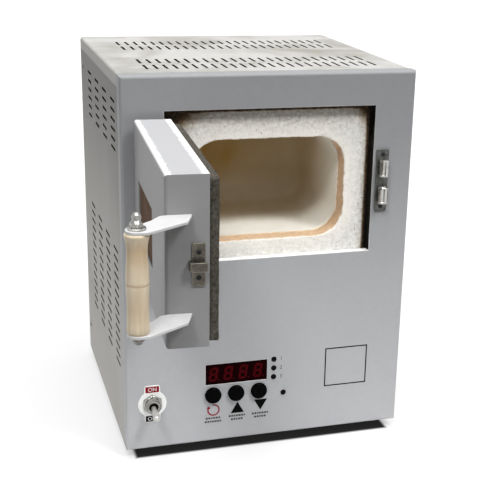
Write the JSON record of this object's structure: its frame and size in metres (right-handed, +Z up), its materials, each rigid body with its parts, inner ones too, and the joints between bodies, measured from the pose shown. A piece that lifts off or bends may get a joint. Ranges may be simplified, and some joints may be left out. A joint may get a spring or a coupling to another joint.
{
  "type": "jewellery kiln",
  "caption": "Small front-loading bench kiln: slotted sheet-metal casing, fibre chamber, side-hinged door with a window and wooden grip, and a control panel.",
  "frame": {"origin": "on the table, under the middle of the whole box, with the door standing open as at rest", "axes": "+X to the right of the front panel, +Y from the front panel to the back, +Z up; at rest the door stands open at 93.3 degrees on its left-hand hinges, towards -Y"},
  "size_m": [0.2702, 0.4562, 0.319],
  "materials": {
    "panel_paint": "silver-grey fine texture, semi-gloss",
    "inner_steel": "plain galvanised sheet, satin",
    "door_paint": "silver-grey fine texture, semi-gloss",
    "ceramic_fibre": "off-white fibre board, matt",
    "backing_fibre": "buff fibre board, matt",
    "rubber": "black, matt",
    "black_plastic": "black, matt",
    "button_plastic": "black, glossy",
    "lamp_plastic": "dark lens, glossy",
    "display_pane": "dark red tinted, glossy",
    "legend_aluminium": "printed face, satin",
    "plated_steel": "bright nickel plate",
    "zinc_steel": "zinc plate, satin",
    "brass": "dull, satin",
    "clear_glass": "heat-proof glass, tinted",
    "pale_wood": "turned, clear lacquer",
    "circuit_board": "green laminate",
    "transformer_iron": "laminated core, satin"
  },
  "bodies": {
    "casing": {"front_panel": "panel_paint", "top_panel": "panel_paint", "left_side_panel": "panel_paint", "right_side_panel": "panel_paint", "rear_panel": "panel_paint", "base_tray": "inner_steel", "chamber_shelf": "inner_steel", "fibre_collar": "ceramic_fibre", "fibre_muffle": "ceramic_fibre", "backing_boards": "backing_fibre", "rubber_feet": "rubber", "cable_gland": "black_plastic", "display_block": "black_plastic", "switch_body": "black_plastic", "power_relay": "black_plastic", "terminal_block": "black_plastic", "indicator_lamps": "lamp_plastic", "display_filter": "display_pane", "switch_legend_plate": "legend_aluminium", "switch_nut": "plated_steel", "hinge_lower_panel_leaf": "zinc_steel", "hinge_upper_panel_leaf": "zinc_steel", "board_standoffs": "zinc_steel", "catch_housing": "brass", "controller_board": "circuit_board", "transformer": "transformer_iron"},
    "door": {"door_shell": "door_paint", "door_slab": "ceramic_fibre", "window_glass": "clear_glass", "bracket_lower": "zinc_steel", "bracket_upper": "zinc_steel", "wooden_grip": "pale_wood", "grip_bolt": "plated_steel", "strike_plate": "brass", "hinge_lower_door_leaf": "zinc_steel", "hinge_upper_door_leaf": "zinc_steel"},
    "switch_lever": {"switch_lever": "plated_steel"},
    "button_left": {"button_left": "button_plastic"},
    "button_middle": {"button_middle": "button_plastic"},
    "button_right": {"button_right": "button_plastic"},
    "catch_ball_upper": {"catch_ball_upper": "brass"},
    "catch_ball_lower": {"catch_ball_lower": "brass"}
  },
  "joints": [
    {"name": "door_hinge", "type": "hinge", "parent": "casing", "child": "door", "pos_m": [-0.07133, -0.02107, 0.2304], "axis": [0, 0, 1], "range_deg": [-14, 93.3]},
    {"name": "switch_tilt", "type": "hinge", "parent": "casing", "child": "switch_lever", "pos_m": [-0.08333, -0.01837, 0.049], "axis": [1, 0, 0], "range_deg": [-30, 0]},
    {"name": "button_left_press", "type": "slide", "parent": "casing", "child": "button_left", "axis": [0, 1, 0], "range_m": [0, 0.001], "stiffness_N_per_m": 300, "springref_m": -0.001},
    {"name": "button_middle_press", "type": "slide", "parent": "casing", "child": "button_middle", "axis": [0, 1, 0], "range_m": [0, 0.001], "stiffness_N_per_m": 300, "springref_m": -0.001},
    {"name": "button_right_press", "type": "slide", "parent": "casing", "child": "button_right", "axis": [0, 1, 0], "range_m": [0, 0.001], "stiffness_N_per_m": 300, "springref_m": -0.001},
    {"name": "catch_ball_upper_push", "type": "slide", "parent": "casing", "child": "catch_ball_upper", "axis": [0, 0, 1], "range_m": [0, 0.001], "stiffness_N_per_m": 500, "springref_m": -0.002},
    {"name": "catch_ball_lower_push", "type": "slide", "parent": "casing", "child": "catch_ball_lower", "axis": [0, 0, -1], "range_m": [0, 0.001], "stiffness_N_per_m": 500, "springref_m": -0.002}
  ]
}
